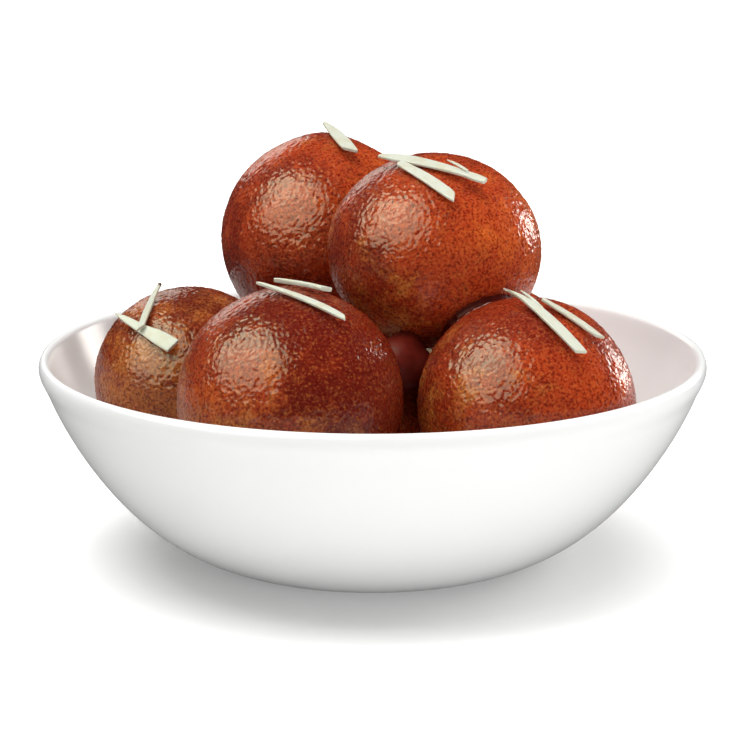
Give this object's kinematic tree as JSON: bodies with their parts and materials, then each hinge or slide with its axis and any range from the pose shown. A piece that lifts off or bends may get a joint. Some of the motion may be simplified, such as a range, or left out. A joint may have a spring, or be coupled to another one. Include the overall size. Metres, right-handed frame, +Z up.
{
  "type": "bowl of gulab jamun",
  "caption": "Round white bowl heaped with syrup-soaked fried milk dumplings, with almond slivers lying on top.",
  "frame": {"origin": "centre of the bowl's foot, on the surface it stands on", "axes": "+Z up along the bowl's axis; -Y is the side seen from the front, with the two leaning front balls; +X to the right"},
  "size_m": [0.14, 0.14, 0.0879],
  "materials": {
    "porcelain": "gloss",
    "syrup_skin": "gloss",
    "almond": "satin"
  },
  "bodies": {
    "root": {"bowl": "porcelain", "jamun_left": "syrup_skin", "jamun_front_left": "syrup_skin", "jamun_right": "syrup_skin", "jamun_top_left": "syrup_skin", "jamun_top_right": "syrup_skin", "jamun_centre": "syrup_skin", "jamun_back_left": "syrup_skin", "jamun_back_right": "syrup_skin", "almond_left_blade": "almond", "almond_left_upright": "almond", "almond_front_long": "almond", "almond_front_short": "almond", "almond_top_left": "almond", "almond_top_right_low": "almond", "almond_top_right_high": "almond", "almond_right_low": "almond", "almond_right_forked": "almond"}
  },
  "joints": []
}
